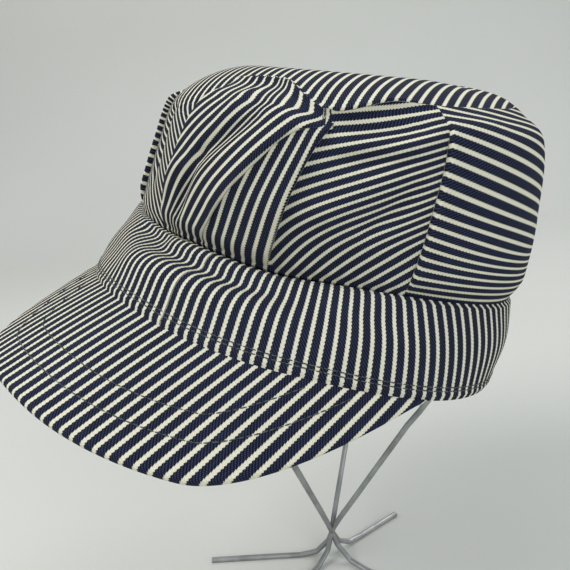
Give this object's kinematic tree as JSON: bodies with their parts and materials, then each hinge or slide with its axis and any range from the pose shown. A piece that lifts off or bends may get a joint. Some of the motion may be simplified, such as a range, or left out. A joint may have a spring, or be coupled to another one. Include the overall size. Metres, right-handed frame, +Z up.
{
  "type": "conductor cap on a wire stand",
  "caption": "Striped denim conductor cap with a soft pleated crown, a wide band and a stiff curved visor, held up on a plain wire stand.",
  "frame": {"origin": "on the table at the middle of the part's bounding box", "axes": "+Z up, -Y to the front where the visor points, +X to the wearer's left"},
  "size_m": [0.2142, 0.236, 0.2686],
  "materials": {
    "crown_denim": "navy and cream striped cotton denim",
    "band_denim": "navy and cream striped cotton denim, stitched",
    "visor_denim": "navy and cream striped cotton denim over a stiff visor, stitched",
    "stand_steel": "plain drawn wire, satin"
  },
  "bodies": {
    "root": {"crown": "crown_denim", "band": "band_denim", "visor": "visor_denim", "wire_stand": "stand_steel"}
  },
  "joints": []
}
